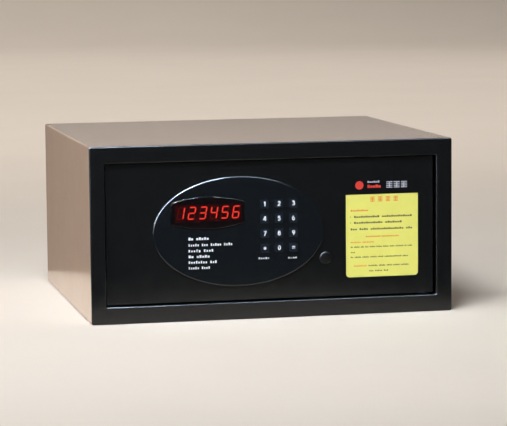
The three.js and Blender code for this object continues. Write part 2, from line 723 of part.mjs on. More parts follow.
function buildPower() {
  add(door, "battery_tray", batteryTray(), MATERIAL.plastic);
  const middle = (TRAY.left + TRAY.right) / 2;
  [-1.5, -0.5, 0.5, 1.5].forEach((place, i) => {
    const upright = i % 2 === 0;
    const geometry = upright ? cellSolid() : cellSolid().rotateX(Math.PI).translate(0, 0, CELL.length + 1);
    const x = middle + place * CELL.pitch;
    add(door, `battery_cell_${i + 1}`, geometry, MATERIAL.cell, x, CELL.y, TRAY.bottom + 3);
  });
  add(door, "battery_hatch", batteryHatch(), MATERIAL.coverPaint);
  const batteryRoute = [
    [TRAY.left - GAP, 30, 120],
    [80, 29, 120],
    [62, 27, 116],
    [44, 21, 112],
    [32, BOARD.back + 1.8, 110],
  ];
  const motorRoute = [
    [GEAR.x + 9 + GAP, 33, 58],
    [-92, 33, 52],
    [-70, 31, 46],
    [-48, 27, 54],
    [-40, 21, 72],
    [-36, BOARD.back + 1.8, 78],
  ];
  add(door, "battery_lead", lead(batteryRoute, 1.2, 24), MATERIAL.wire);
  add(door, "motor_lead", lead(motorRoute, 1.2, 30), MATERIAL.wire);
}

buildCase();
buildDoor();
buildLock();
buildPower();

export default root;
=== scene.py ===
"""The looks of an in-room safe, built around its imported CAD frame.

Metres, +Z up, and the front faces -Y.
"""

import json
import math
import random

import bmesh
import bpy
from mathutils import Matrix, Vector


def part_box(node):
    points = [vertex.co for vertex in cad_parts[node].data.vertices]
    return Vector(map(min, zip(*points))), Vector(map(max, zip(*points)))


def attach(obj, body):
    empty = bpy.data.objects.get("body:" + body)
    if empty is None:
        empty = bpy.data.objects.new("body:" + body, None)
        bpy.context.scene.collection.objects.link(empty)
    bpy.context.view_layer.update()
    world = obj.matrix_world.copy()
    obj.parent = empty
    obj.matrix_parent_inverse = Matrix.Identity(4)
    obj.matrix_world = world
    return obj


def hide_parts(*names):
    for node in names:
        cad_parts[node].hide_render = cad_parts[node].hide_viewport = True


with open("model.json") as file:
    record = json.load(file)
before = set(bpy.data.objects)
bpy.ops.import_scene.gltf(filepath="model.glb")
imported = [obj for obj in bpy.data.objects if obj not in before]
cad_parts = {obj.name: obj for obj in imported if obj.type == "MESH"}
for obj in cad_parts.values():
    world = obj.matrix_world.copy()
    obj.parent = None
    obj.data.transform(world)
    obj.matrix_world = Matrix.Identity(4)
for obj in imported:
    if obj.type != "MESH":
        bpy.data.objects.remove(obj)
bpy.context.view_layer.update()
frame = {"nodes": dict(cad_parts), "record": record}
NODES = frame["nodes"]
MM = 0.001

# ---------------------------------------------------------------- places taken from the frame

FRONT_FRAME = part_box("front_frame")
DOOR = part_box("door_plate")
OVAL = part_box("keypad_housing")
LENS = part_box("display_lens")
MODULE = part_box("display_module")
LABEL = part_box("instruction_label")
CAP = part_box("override_cap")
FRONT = FRONT_FRAME[0].y
DOOR_FACE = DOOR[0].y

# Each key's node and its legend, row by row.
KEYS = {f"key_{n}": n for n in "123456789"} | {"key_star": "*", "key_0": "0", "key_enter": "="}


def middle(box):
    return (box[0] + box[1]) / 2


# ---------------------------------------------------------------- camera

VIEW = {
    "azimuth": -12.407,
    "elevation": 6.406,
    "roll": -0.4987,
    "distance": 2.7193,
    "target": (-0.0238, FRONT, 0.1208),
    "lens": 170.9,
    "sensor": 36.0,
    "reach": 50,
}


def add_camera():
    a, e, roll = (math.radians(VIEW[k]) for k in ("azimuth", "elevation", "roll"))
    back = Vector((math.sin(a) * math.cos(e), -math.cos(a) * math.cos(e), math.sin(e)))
    right = Vector((0, 0, 1)).cross(back).normalized()
    up = back.cross(right)
    x_axis = right * math.cos(roll) + up * math.sin(roll)
    y_axis = up * math.cos(roll) - right * math.sin(roll)
    data = bpy.data.cameras.new("camera")
    data.lens = VIEW["lens"]
    data.sensor_width = VIEW["sensor"]
    data.clip_end = VIEW["reach"]
    camera = bpy.data.objects.new("camera", data)
    rotation = Matrix((x_axis, y_axis, back)).transposed().to_4x4()
    place = Vector(VIEW["target"]) + back * VIEW["distance"]
    camera.matrix_world = Matrix.Translation(place) @ rotation
    bpy.context.scene.collection.objects.link(camera)
    bpy.context.scene.camera = camera


# ---------------------------------------------------------------- materials

# Noise lies around a half: these bounds are stretched to the ends of what it drives.
NOISE_LOW, NOISE_HIGH = 0.3, 0.7


def principled(name, color, roughness, metallic=0.0, **sockets):
    """A material with its shader's sockets set; underscores stand for the spaces in their names."""
    material = bpy.data.materials.new(name)
    material.use_nodes = True
    shader = material.node_tree.nodes["Principled BSDF"]
    shader.inputs["Base Color"].default_value = (*color, 1)
    shader.inputs["Roughness"].default_value = roughness
    shader.inputs["Metallic"].default_value = metallic
    for socket, value in sockets.items():
        shader.inputs[socket.replace("_", " ")].default_value = value
    return material


def noise(tree, scale, detail=3.0, stretch=(1, 1, 1)):
    """Noise that is fixed to the piece, in features per metre."""
    place = tree.nodes.new("ShaderNodeTexCoord")
    mapping = tree.nodes.new("ShaderNodeMapping")
    mapping.inputs["Scale"].default_value = stretch
    texture = tree.nodes.new("ShaderNodeTexNoise")
    texture.inputs["Scale"].default_value = scale
    texture.inputs["Detail"].default_value = detail
    tree.links.new(place.outputs["Object"], mapping.inputs["Vector"])
    tree.links.new(mapping.outputs["Vector"], texture.inputs["Vector"])
    return texture


def add_grain(material, scale, strength, depth, stretch=(1, 1, 1), detail=3.0):
    """Fine relief over the whole surface, on top of any relief it has already."""
    tree = material.node_tree
    shader = tree.nodes["Principled BSDF"]
    texture = noise(tree, scale, detail, stretch)
    bump = tree.nodes.new("ShaderNodeBump")
    bump.inputs["Strength"].default_value = strength
    bump.inputs["Distance"].default_value = depth
    earlier = shader.inputs["Normal"].links
    if earlier:
        tree.links.new(earlier[0].from_socket, bump.inputs["Normal"])
    tree.links.new(texture.outputs["Fac"], bump.inputs["Height"])
    tree.links.new(bump.outputs["Normal"], shader.inputs["Normal"])


def add_mottle(material, scale, spread):
    """Slow variation of the colour between darker and lighter by a share of itself."""
    tree = material.node_tree
    socket = tree.nodes["Principled BSDF"].inputs["Base Color"]
    color = socket.default_value[:3]
    texture = noise(tree, scale, 4.0)
    ramp = tree.nodes.new("ShaderNodeValToRGB")
    ends = ((NOISE_LOW, 1 - spread), (NOISE_HIGH, 1 + spread))
    for stop, (position, share) in zip(ramp.color_ramp.elements, ends):
        stop.position = position
        stop.color = (*(c * share for c in color), 1)
    tree.links.new(texture.outputs["Fac"], ramp.inputs["Fac"])
    tree.links.new(ramp.outputs["Color"], socket)


def add_sheen_variation(material, scale, low, high, stretch=(1, 1, 1)):
    """Roughness that wanders between two values, as handling and uneven paint leave it."""
    tree = material.node_tree
    texture = noise(tree, scale, 5.0, stretch)
    span = tree.nodes.new("ShaderNodeMapRange")
    span.inputs["From Min"].default_value = NOISE_LOW
    span.inputs["From Max"].default_value = NOISE_HIGH
    span.inputs["To Min"].default_value = low
    span.inputs["To Max"].default_value = high
    tree.links.new(texture.outputs["Fac"], span.inputs["Value"])
    tree.links.new(span.outputs["Result"], tree.nodes["Principled BSDF"].inputs["Roughness"])


def powder_coat(name, color, low, high, **sockets):
    """Satin powder coat: orange peel about a millimetre across, with a finer grit on it."""
    material = principled(name, color, (low + high) / 2, **sockets)
    add_mottle(material, 9, 0.02)
    add_sheen_variation(material, 60, low, high)
    add_grain(material, 900, 0.06, 0.0001)
    add_grain(material, 3200, 0.04, 0.00005)
    return material


def moulded(name, color, low, high, grain=1800, strength=0.08, **sockets):
    """Moulded plastic with a spark-eroded grain."""
    material = principled(name, color, (low + high) / 2, **sockets)
    add_sheen_variation(material, 110, low, high)
    add_grain(material, grain, strength, 0.0001)
    return material


def turned_metal(name, color, low, high, stretch=(1, 1, 1)):
    """Bright metal with the fine marks of working, stretched along an axis or alike all ways."""
    material = principled(name, color, (low + high) / 2, 1.0)
    add_sheen_variation(material, 120, low, high, stretch)
    add_grain(material, 500, 0.012, 0.00005, stretch)
    return material


def zinc_plated(name, color):
    """Plated sheet: a crystalline mottle and a slightly cloudy shine."""
    material = principled(name, color, 0.35, 1.0)
    add_mottle(material, 160, 0.12)
    add_sheen_variation(material, 90, 0.28, 0.48)
    add_grain(material, 700, 0.05, 0.00005)
    return material


def felt(name, color):
    """Needle felt: matt and fibrous, with a faint nap."""
    material = principled(name, color, 0.95, Sheen_Weight=0.08, Sheen_Roughness=0.6)
    add_mottle(material, 420, 0.35)
    add_grain(material, 1600, 0.8, 0.0008, detail=6)
    return material


def printed(name, color, roughness=0.4):
    """Printing ink, slightly uneven."""
    material = principled(name, color, roughness)
    add_mottle(material, 60, 0.02)
    return material


def glow(name, color, emission, strength):
    """A part of the display that gives off light, without a gloss of its own: the lit bars, and
    painted glow on the unlit bars, round the lit bars and over the module's face.
    """
    material = principled(name, color, 0.6, Specular_IOR_Level=0.0)
    shader = material.node_tree.nodes["Principled BSDF"]
    shader.inputs["Emission Color"].default_value = (*emission, 1)
    shader.inputs["Emission Strength"].default_value = strength
    return material


FINISH = {
    "case_paint": powder_coat("case_paint", (0.40, 0.285, 0.205), 0.15, 0.18),
    "front_paint": powder_coat("front_paint", (0.0026, 0.0028, 0.0028), 0.2, 0.26),
    "housing_plastic": moulded("housing_plastic", (0.003, 0.005, 0.007), 0.16, 0.2),
    "key_plastic": moulded("key_plastic", (0.0075, 0.0125, 0.021), 0.2, 0.26),
    "cap_plastic": moulded(
        "cap_plastic", (0.003, 0.003, 0.003), 0.3, 0.36, Specular_IOR_Level=0.26
    ),
    "lens": principled("lens", (0.30, 0.03, 0.03), 0.05, Transmission_Weight=1.0, IOR=1.49),
    "display_body": moulded("display_body", (0.004, 0.003, 0.003), 0.5, 0.6),
    "circuit_board": moulded("circuit_board", (0.02, 0.10, 0.04), 0.3, 0.4),
    "label_film": printed("label_film", (0.765, 0.76, 0.178), 0.32),
    "zinc_plate": zinc_plated("zinc_plate", (0.62, 0.62, 0.60)),
    "bright_steel": turned_metal("bright_steel", (0.50, 0.50, 0.51), 0.27, 0.31),
    "brass": turned_metal("brass", (0.72, 0.50, 0.20), 0.22, 0.35, (1, 1, 12)),
    "spring_steel": turned_metal("spring_steel", (0.035, 0.038, 0.045), 0.3, 0.4),
    "nylon": moulded("nylon", (0.012, 0.012, 0.013), 0.45, 0.55),
    "silicone": moulded("silicone", (0.16, 0.17, 0.18), 0.6, 0.7),
    "cover_plastic": moulded("cover_plastic", (0.012, 0.0124, 0.013), 0.46, 0.51, 1400, 0.25),
    "cell_sleeve": moulded("cell_sleeve", (0.02, 0.06, 0.16), 0.25, 0.35, Metallic=0.6),
    "carpet": felt("carpet", (0.028, 0.029, 0.034)),
    "lead_sleeve": moulded("lead_sleeve", (0.30, 0.012, 0.01), 0.35, 0.45),
}
WHITE_INK = printed("white_ink", (0.74, 0.79, 0.88), 0.45)
DARK_INK = printed("dark_ink", (0.045, 0.05, 0.02), 0.45)
ORANGE_INK = printed("orange_ink", (0.80, 0.20, 0.02), 0.4)
RED_INK = printed("red_ink", (0.62, 0.035, 0.02), 0.4)
GREY_INK = printed("grey_ink", (0.40, 0.42, 0.50), 0.45)
BLACK_INK = principled("black_ink", (0.0025, 0.0026, 0.003), 0.25, Specular_IOR_Level=0.42)
add_mottle(BLACK_INK, 60, 0.02)
MASK_INK = principled("mask_ink", (0.005, 0.008, 0.011), 0.9, Specular_IOR_Level=0.0)
SEGMENT_LIT = glow("segment_lit", (0.4, 0.02, 0.01), (1.0, 0.60, 0.34), 3.6)
# Painted glow: a faint red band round each lit bar gives off light of its own, standing in for the
# LED light spreading behind the window.
SEGMENT_HALO = glow("segment_halo", (0.05, 0.006, 0.006), (1.0, 0.06, 0.08), 0.22)
# Painted glow: the unlit bars give off a faint red light, where real unlit bars only show by the
# light falling on them.
SEGMENT_UNLIT_GLOW = glow("segment_unlit_glow", (0.10, 0.01, 0.01), (1.0, 0.06, 0.08), 0.2)
# Painted glow: the module's face gives off a faint red light, for the dim red field seen behind the
# window.
DISPLAY_FACE_GLOW = glow("display_face", (0.03, 0.006, 0.006), (1.0, 0.06, 0.06), 0.035)


# ---------------------------------------------------------------- outlines in X and Z


def arc(x, z, radius_x, radius_z, start, end, steps):
    """Points on an ellipse's arc, from one angle to another, in degrees."""
    angles = (math.radians(start + (end - start) * i / steps) for i in range(steps + 1))
    return [(x + radius_x * math.cos(a), z + radius_z * math.sin(a)) for a in angles]


def ellipse(x, z, radius_x, radius_z, steps=240):
    return arc(x, z, radius_x, radius_z, 0, 360, steps)[:-1]


def rectangle(x0, x1, z0, z1, radius=0.0, steps=8):
    """A rectangle whose corners are rounded where a radius is given."""
    if not radius:
        return [(x0, z0), (x1, z0), (x1, z1), (x0, z1)]
    r = radius
    right = [(x1 - r, z0 + r, -90), (x1 - r, z1 - r, 0)]
    left = [(x0 + r, z1 - r, 90), (x0 + r, z0 + r, 180)]
    return [p for x, z, start in right + left for p in arc(x, z, r, r, start, start + 90, steps)]


def barrel(box, end, grow=0.0, steps=48):
    """The display window's outline: upright ends of a half height, joined by two shallow arcs."""
    centre = middle(box)
    half = (box[1].x - box[0].x) / 2 + grow
    rise = (box[1].z - box[0].z) / 2 - end
    end = end + grow
    radius = (half**2 + rise**2) / (2 * rise)
    sweep = math.degrees(math.asin(half / radius))
    lift = end + rise - radius
    upper = arc(centre.x, centre.z + lift, radius, radius, 90 - sweep, 90 + sweep, steps)
    lower = arc(centre.x, centre.z - lift, radius, radius, 270 - sweep, 270 + sweep, steps)
    return upper + lower


SHARPEST = 0.2  # keeps the tip of a very sharp corner from running away


def inset(loop, distance):
    """A closed outline moved sideways, towards its left as it is drawn."""
    moved = []
    for i, (x, z) in enumerate(loop):
        (px, pz), (nx, nz) = loop[i - 1], loop[(i + 1) % len(loop)]
        before = Vector((-(z - pz), x - px)).normalized()
        after = Vector((-(nz - z), nx - x)).normalized()
        reach = distance / max(1 + before.dot(after), SHARPEST)
        moved.append((x + (before.x + after.x) * reach, z + (before.y + after.y) * reach))
    return moved


# ---------------------------------------------------------------- meshes


def add_plate(
    bm, outer, front, back, edge=0.0, holes=(), hole_edge=0.0, back_edge=0.0, steps=6, slot=0
):
    """A closed plate between two planes, from outlines that run anticlockwise.

    The edges are radii: of the outer outline at the front, of the holes at the front, and of both
    at the back. The slot is the material's.
    """
    front_edges, back_edges, made = [], [], []
    loops = [(list(outer), edge)] + [(list(hole)[::-1], hole_edge) for hole in holes]
    for loop, radius in loops:
        turns = [math.pi / 2 * i / steps for i in range(steps, -1, -1)] if radius else [0.0]
        profile = [(radius * (1 - math.cos(a)), front + radius * (1 - math.sin(a))) for a in turns]
        turns = [math.pi / 2 * i / steps for i in range(steps + 1)] if back_edge else [0.0]
        for a in turns:
            profile.append((back_edge * (1 - math.cos(a)), back - back_edge * (1 - math.sin(a))))
        rings = [[bm.verts.new((x, y, z)) for x, z in inset(loop, d)] for d, y in profile]
        for ring, following in zip(rings, rings[1:]):
            for i in range(len(ring)):
                j = (i + 1) % len(ring)
                made.append(bm.faces.new((ring[i], ring[j], following[j], following[i])))
        front_edges += [bm.edges.get((rings[0][i - 1], rings[0][i])) for i in range(len(loop))]
        back_edges += [bm.edges.get((rings[-1][i - 1], rings[-1][i])) for i in range(len(loop))]
    for edges in (front_edges, back_edges):
        filled = bmesh.ops.triangle_fill(bm, use_beauty=True, use_dissolve=False, edges=edges)
        made += [f for f in filled["geom"] if isinstance(f, bmesh.types.BMFace)]
    for face in made:
        face.material_index = slot


def turned_ring(radius, steps):
    """Points on a circle about the origin, or the origin itself for a radius of nothing."""
    turns = (2 * math.pi * i / steps for i in range(steps if radius else 1))
    return [(radius * math.cos(a), radius * math.sin(a)) for a in turns]


def bridge(bm, rings, steps):
    """Faces from each ring of vertices to the next; a ring of one vertex is a tip."""
    for ring, following in zip(rings, rings[1:]):
        for i in range(steps):
            j = (i + 1) % steps
            corners = [ring[i % len(ring)], ring[j % len(ring)]]
            corners += [following[j % len(following)], following[i % len(following)]]
            bm.faces.new(list(dict.fromkeys(corners)))


def add_turned(bm, profile, place, steps=96):
    """A solid turned about an axis along Y, from (radius, y) pairs that start and end on it."""
    rings = []
    for radius, y in profile:
        points = turned_ring(radius, steps)
        rings.append([bm.verts.new((place.x + x, y, place.z + z)) for x, z in points])
    bridge(bm, rings, steps)


def finished(bm, name, materials, body, sharp=32.0):
    """The mesh as a piece that rides on a body, smooth except at its sharp edges."""
    bmesh.ops.recalc_face_normals(bm, faces=bm.faces)
    mesh = bpy.data.meshes.new(name)
    bm.to_mesh(mesh)
    bm.free()
    for material in materials:
        mesh.materials.append(material)
    mesh.shade_smooth()
    mesh.set_sharp_from_angle(angle=math.radians(sharp))
    piece = bpy.data.objects.new(name, mesh)
    bpy.context.scene.collection.objects.link(piece)
    weigh = piece.modifiers.new("flat_faces_stay_flat", "WEIGHTED_NORMAL")
    weigh.keep_sharp = True
    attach(piece, body)
    return piece


SMOOTH_UP_TO = 35  # degrees between faces of a carried-over part that is shaded smooth
FLAT_WITHIN = 0.4  # degrees between faces that are one face
BEVEL_FROM = 40  # degrees at an edge that gets a radius
WELD_WITHIN = 1e-6
# The parts whose edges are rounded, and by how much.
BEVELS = {
    "inner_cover": 0.6 * MM,
    "battery_hatch": 0.4 * MM,
    "strike_plate": 0.2 * MM,
    "lock_chassis": 0.2 * MM,
    "bolt_carriage": 0.2 * MM,
}


def smoothing_group(angle):
    """Geometry nodes that shade a carried-over part smooth up to an angle."""
    group = bpy.data.node_groups.new("smooth_up_to_angle", "GeometryNodeTree")
    group.interface.new_socket("Geometry", in_out="INPUT", socket_type="NodeSocketGeometry")
    group.interface.new_socket("Geometry", in_out="OUTPUT", socket_type="NodeSocketGeometry")
    new = group.nodes.new
    start, end = new("NodeGroupInput"), new("NodeGroupOutput")
    faces, edges = new("GeometryNodeSetShadeSmooth"), new("GeometryNodeSetShadeSmooth")
    faces.domain, edges.domain = "FACE", "EDGE"
    edges.inputs["Shade Smooth"].default_value = False
    between, wide = new("GeometryNodeInputMeshEdgeAngle"), new("FunctionNodeCompare")
    wide.data_type, wide.operation = "FLOAT", "GREATER_THAN"
    wide.inputs["B"].default_value = math.radians(angle)
    link = group.links.new
    link(start.outputs["Geometry"], faces.inputs["Geometry"])
    link(faces.outputs["Geometry"], edges.inputs["Geometry"])
    link(between.outputs["Unsigned Angle"], wide.inputs["A"])
    link(wide.outputs["Result"], edges.inputs["Selection"])
    link(edges.outputs["Geometry"], end.inputs["Geometry"])
    return group


def refine(node, group, bevel=0.0):
    """Welds a carried-over part, gives its sharp edges a small radius and shades it smooth."""
    weld = node.modifiers.new("weld", "WELD")
    weld.merge_threshold = WELD_WITHIN
    flatten = node.modifiers.new("flatten", "DECIMATE")
    flatten.decimate_type = "DISSOLVE"
    flatten.angle_limit = math.radians(FLAT_WITHIN)
    if bevel:
        edge = node.modifiers.new("edge", "BEVEL")
        edge.width = bevel
        edge.segments = 2
        edge.limit_method = "ANGLE"
        edge.angle_limit = math.radians(BEVEL_FROM)
        edge.use_clamp_overlap = True
    smooth = node.modifiers.new("smooth", "NODES")
    smooth.node_group = group
    weigh = node.modifiers.new("flat_faces_stay_flat", "WEIGHTED_NORMAL")
    weigh.keep_sharp = True


def finish_cad_nodes():
    group = smoothing_group(SMOOTH_UP_TO)
    for row in frame["record"]["subparts"]:
        node = NODES[row["node"]]
        node.data.materials.clear()
        node.data.materials.append(FINISH[row["material_slot"]])
        refine(node, group, BEVELS.get(row["node"], 0.0))


# ---------------------------------------------------------------- keypad housing and display

RIM = 2.2 * MM  # rounding of the oval's front edge
HOLE_EDGE = 0.25 * MM  # rounding of the edges around the keys and the window
OFF_DOOR = 0.02 * MM  # what is mounted on the door stays this far off its face
KEY_GAP = 0.35 * MM
KEY_HOLE = {"half": 5.3 * MM + KEY_GAP, "corner": 1.4 * MM}
LENS_END = 12.1 * MM  # half height of the window's upright ends
LENS_GAP = 0.25 * MM
LENS_EDGE = 1.3 * MM
# The window's black backing: its clear part (x, x, z, z in millimetres), and its sizes.
LENS_OPENING = (-115, -33.8, 112.2, 132)
MASK = {"inset": 0.1 * MM, "half": 0.05 * MM, "corner": 0.8 * MM}


def add_housing():
    """The oval keypad housing, with holes for the window and the keys."""
    centre = middle(OVAL)
    reach_x, reach_z = (OVAL[1].x - OVAL[0].x) / 2, (OVAL[1].z - OVAL[0].z) / 2
    outer = ellipse(centre.x, centre.z, reach_x, reach_z)
    half, corner = KEY_HOLE["half"], KEY_HOLE["corner"]
    holes = [barrel(LENS, LENS_END, LENS_GAP)]
    for name in KEYS:
        c = middle(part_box(name))
        holes.append(rectangle(c.x - half, c.x + half, c.z - half, c.z + half, corner, 4))
    bm = bmesh.new()
    add_plate(bm, outer, OVAL[0].y, DOOR_FACE - OFF_DOOR, RIM, holes, HOLE_EDGE, steps=10)
    piece = finished(bm, "oval_housing", [FINISH["housing_plastic"]], "door", 40)
    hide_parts("keypad_housing")


def add_lens():
    """The clear window, and the black print on its back that leaves the digits' field open."""
    bm = bmesh.new()
    front, back = LENS[0].y, LENS[1].y
    add_plate(bm, barrel(LENS, LENS_END), front, back, LENS_EDGE, steps=8)
    piece = finished(bm, "display_window", [FINISH["lens"]], "door", 50)
    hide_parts("display_lens")
    bm = bmesh.new()
    outer = barrel(LENS, LENS_END, -MASK["inset"])
    opening = rectangle(*(v * MM for v in LENS_OPENING), MASK["corner"], 4)
    add_plate(bm, outer, back - MASK["half"], back + MASK["half"], holes=[opening])
    finished(bm, "window_mask", [MASK_INK], "door")


# Which of a digit's seven bars are lit, clockwise from the top, with the middle bar last.
SEGMENTS = {
    "1": "0110000",
    "2": "1101101",
    "3": "1111001",
    "4": "0110011",
    "5": "1011011",
    "6": "1011111",
}
DIGIT = {
    "height": 14.2 * MM,
    "width": 7.9 * MM,
    "bar": 1.1 * MM,
    "gap": 0.2 * MM,
    "slant": math.tan(math.radians(10)),
    "pitch": 12.7 * MM,
    "first": -106.8 * MM,
    "relief": 0.15 * MM,
    # reach of the painted glow round a lit bar
    "halo": 0.9 * MM,
}
BEZEL = {"corner": 0.5 * MM, "edge": 0.2 * MM}
HAIR = 0.03 * MM  # printing stands this far off its surface
INK = 0.02 * MM  # and is this thick


def digit_bars(x, z):
    """The seven bars of a slanted digit about a centre, as six-sided outlines."""
    t, g = DIGIT["bar"] / 2, DIGIT["gap"]
    w, h = DIGIT["width"] / 2 - t, DIGIT["height"] / 2 - t

    def across(height):
        left, right = -w + g, w - g
        return [(left, height), (left + t, height - t), (right - t, height - t),
                (right, height), (right - t, height + t), (left + t, height + t)]

    def upright(side, low, high):
        low, high = low + g, high - g
        return [(side, low), (side + t, low + t), (side + t, high - t),
                (side, high), (side - t, high - t), (side - t, low + t)]

    bars = [across(h), upright(w, 0, h), upright(w, -h, 0), across(-h)]
    bars += [upright(-w, -h, 0), upright(-w, 0, h), across(0)]
    return [[(x + px + pz * DIGIT["slant"], z + pz) for px, pz in bar] for bar in bars]


def add_display():
    """The LED module behind the window, with six digits showing 1 to 6; its face, its unlit bars
    and a band round each lit bar carry painted glow.
    """
    low, high = MODULE
    face = low.y
    outer = rectangle(low.x, high.x, low.z, high.z, BEZEL["corner"], 3)
    bm = bmesh.new()
    add_plate(bm, outer, face, high.y, BEZEL["edge"], steps=2)
    # The face's faint red light is painted glow.
    piece = finished(bm, "display_face", [DISPLAY_FACE_GLOW], "door")
    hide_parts("display_module")
    materials = [SEGMENT_LIT, SEGMENT_UNLIT_GLOW, SEGMENT_HALO]
    lit_slot, unlit_glow_slot, halo_slot = range(3)
    for i, numeral in enumerate("123456"):
        bm = bmesh.new()
        outlines = digit_bars(DIGIT["first"] + i * DIGIT["pitch"], middle(MODULE).z)
        for outline, state in zip(outlines, SEGMENTS[numeral]):
            lit = state == "1"
            # Unlit bars get the painted glow.
            slot = lit_slot if lit else unlit_glow_slot
            add_plate(bm, outline, face - DIGIT["relief"], face - HAIR, slot=slot)
            if lit:
                # A painted glow band round each lit bar.
                halo = inset(outline, -DIGIT["halo"])
                add_plate(bm, halo, face - HAIR, face - HAIR / 3, slot=halo_slot)
        finished(bm, f"digit_{i + 1}", materials, "door")


# ---------------------------------------------------------------- printing

MITRE = 0.35  # keeps the outside of a sharp turn of the pen from running away


def stroke(points, width=1.2):
    """The outline of a pen stroke along an open line of points."""
    loop, half = [], width / 2
    for path in (points, points[::-1]):
        for i, (x, z) in enumerate(path):
            before = Vector(path[i]) - Vector(path[i - 1]) if i else None
            after = Vector(path[i + 1]) - Vector(path[i]) if i + 1 < len(path) else None
            sides = [Vector((d.y, -d.x)).normalized() for d in (before, after) if d]
            side = sum(sides, Vector((0, 0)))
            side *= half / max(side.dot(sides[0]), MITRE)
            loop.append((x + side.x, z + side.y))
    return [(loop, [])]


def ring(x, z, radius_x, radius_z, width=1.05):
    """The outline of a pen stroke round an ellipse, with the hole in it."""
    half = width / 2
    outer = ellipse(x, z, radius_x + half, radius_z + half, 32)
    return [(outer, [ellipse(x, z, radius_x - half, radius_z - half, 32)])]


def turned_round(parts):
    """Outlines turned half a turn about the middle of the glyph."""

    def turned(loop):
        return [(-x, -z) for x, z in loop]

    return [(turned(outer), [turned(hole) for hole in holes]) for outer, holes in parts]


SIX = ring(0, -0.9, 1.2, 1.3) + stroke(arc(0.75, -0.6, 1.95, 2.75, 176, 98, 10))
SIGN_PEN = 0.95
# Numerals and signs in millimetres about the middle of a key; the numerals are 5.3 high.
GLYPHS = {
    "1": stroke([(-0.75, 1.35), (0.3, 2.15)]) + stroke([(0.3, 2.65), (0.3, -2.65)]),
    "2": stroke(arc(0, 1.05, 1.2, 1.15, 172, -38, 12) + [(-1.25, -2.2), (1.55, -2.2)]),
    "3": stroke(arc(-0.05, 1.15, 1.15, 1.05, 155, -95, 12))
    + stroke(arc(-0.05, -1.0, 1.3, 1.2, 95, -155, 12)),
    "4": stroke([(0.55, 2.4), (-1.35, -0.95), (1.65, -0.95)])
    + stroke([(0.6, 2.65), (0.6, -2.65)]),
    "5": stroke([(1.3, 2.2), (-0.8, 2.2), (-1.0, 0.1)])
    + stroke(arc(-0.05, -0.8, 1.3, 1.4, 132, -150, 12)),
    "6": SIX,
    "7": stroke([(-1.4, 2.2), (1.15, 2.2), (-0.4, -2.65)]),
    "8": ring(0, 1.2, 1.0, 1.05) + ring(0, -1.05, 1.25, 1.2),
    "9": turned_round(SIX),
    "0": ring(0, 0, 1.25, 2.25),
    "*": [p for a in (90, 30, 150) for p in stroke(arc(0, 0, 1.9, 1.9, a, a + 180, 1), SIGN_PEN)],
    "=": stroke([(-1.9, 1.05), (1.9, 1.05)], SIGN_PEN)
    + stroke([(-1.9, -1.05), (1.9, -1.05)], SIGN_PEN),
}
STROKE_STEP = 0.008 * MM  # each further stroke of a legend is thicker by this, where they cross


def add_legends():
    """The keys' printed numerals and signs."""
    for name, legend in KEYS.items():
        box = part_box(name)
        c = middle(box)
        back = box[0].y - HAIR
        bm = bmesh.new()
        for i, (outer, holes) in enumerate(GLYPHS[legend]):
            loops = [[(c.x + x * MM, c.z + z * MM) for x, z in loop] for loop in (outer, *holes)]
            add_plate(bm, loops[0], back - INK - STROKE_STEP * i, back, holes=loops[1:])
        finished(bm, f"legend_{name}", [WHITE_INK], name)


SMALL_LETTER = 0.74  # height of a small letter's mark, as a share of a tall one's


def letter_marks(rows):
    """Lines of text as plain upright marks, a tall one among every few small ones.

    A row gives, in millimetres, its left and right end, the height of its middle and the height
    of its letters; then the letters in each word, and the share of a step that a mark fills.
    """
    marks = []
    for left, right, level, height, words, fill in rows:
        x, tall = left * MM, height * MM
        step = (right * MM - x) / (sum(words) + len(words) - 1)
        base = level * MM - tall / 2
        seen = 0
        for letters in words:
            for _ in range(letters):
                top = base + (tall if seen % 5 in (0, 3) else tall * SMALL_LETTER)
                marks.append(rectangle(x, x + step * fill, base, top))
                x += step
                seen += 1
            x += step
    return marks


def barred(x, z, width, height):
    """One large mark of a title, in millimetres about its centre: four bars and an upright."""
    half, bar = width / 2, height / 7
    post = bar * 0.6
    levels = [z - height / 2 + bar * (2 * i + 0.5) for i in range(4)]
    parts = [rectangle(x - half, x + half, level - bar / 2, level + bar / 2) for level in levels]
    for level, above in zip(levels, levels[1:]):
        parts.append(rectangle(x - post, x + post, level + bar / 2, above - bar / 2))
    return [[(px * MM, pz * MM) for px, pz in part] for part in parts]


def add_print(name, outlines, surface, material, lift=HAIR):
    """Flat printing on a surface of the door that faces the front."""
    bm = bmesh.new()
    for outline in outlines:
        add_plate(bm, outline, surface - lift - INK, surface - lift)
    finished(bm, name, [material], "door")


# The housing's six printed lines and its two key captions, as rows for letter_marks.
CAPTIONS = (
    (-98.7, -74.9, 93.5, 3.1, (2, 5), 0.8),
    (-98.7, -47.6, 86.4, 2.9, (5, 3, 5, 4), 0.62),
    (-98.7, -69.4, 79.8, 2.9, (5, 4), 0.62),
    (-98.7, -74, 73.3, 3.1, (2, 5), 0.8),
    (-98.7, -65.6, 66.8, 2.9, (8, 3), 0.62),
    (-98.7, -73.6, 60.4, 2.9, (5, 4), 0.62),
    (-17.8, -4.8, 68.8, 2.0, (5,), 0.56),
    (16.6, 27.6, 68.2, 2.0, (4,), 0.56),
)


def add_captions():
    marks = letter_marks(CAPTIONS)
    add_print("housing_captions", marks, OVAL[0].y, WHITE_INK)


# ---------------------------------------------------------------- instruction sticker

STICKER = {
    "corner": 4 * MM,
    "gap": 0.01 * MM,  # under the film
    "film": 0.12 * MM,
    "edge": 0.05 * MM,
    "margin": 0.5 * MM,  # of the film beside the coloured field
    "split": 137.4 * MM,  # top of the coloured field
    "field_lift": 0.01 * MM,
}
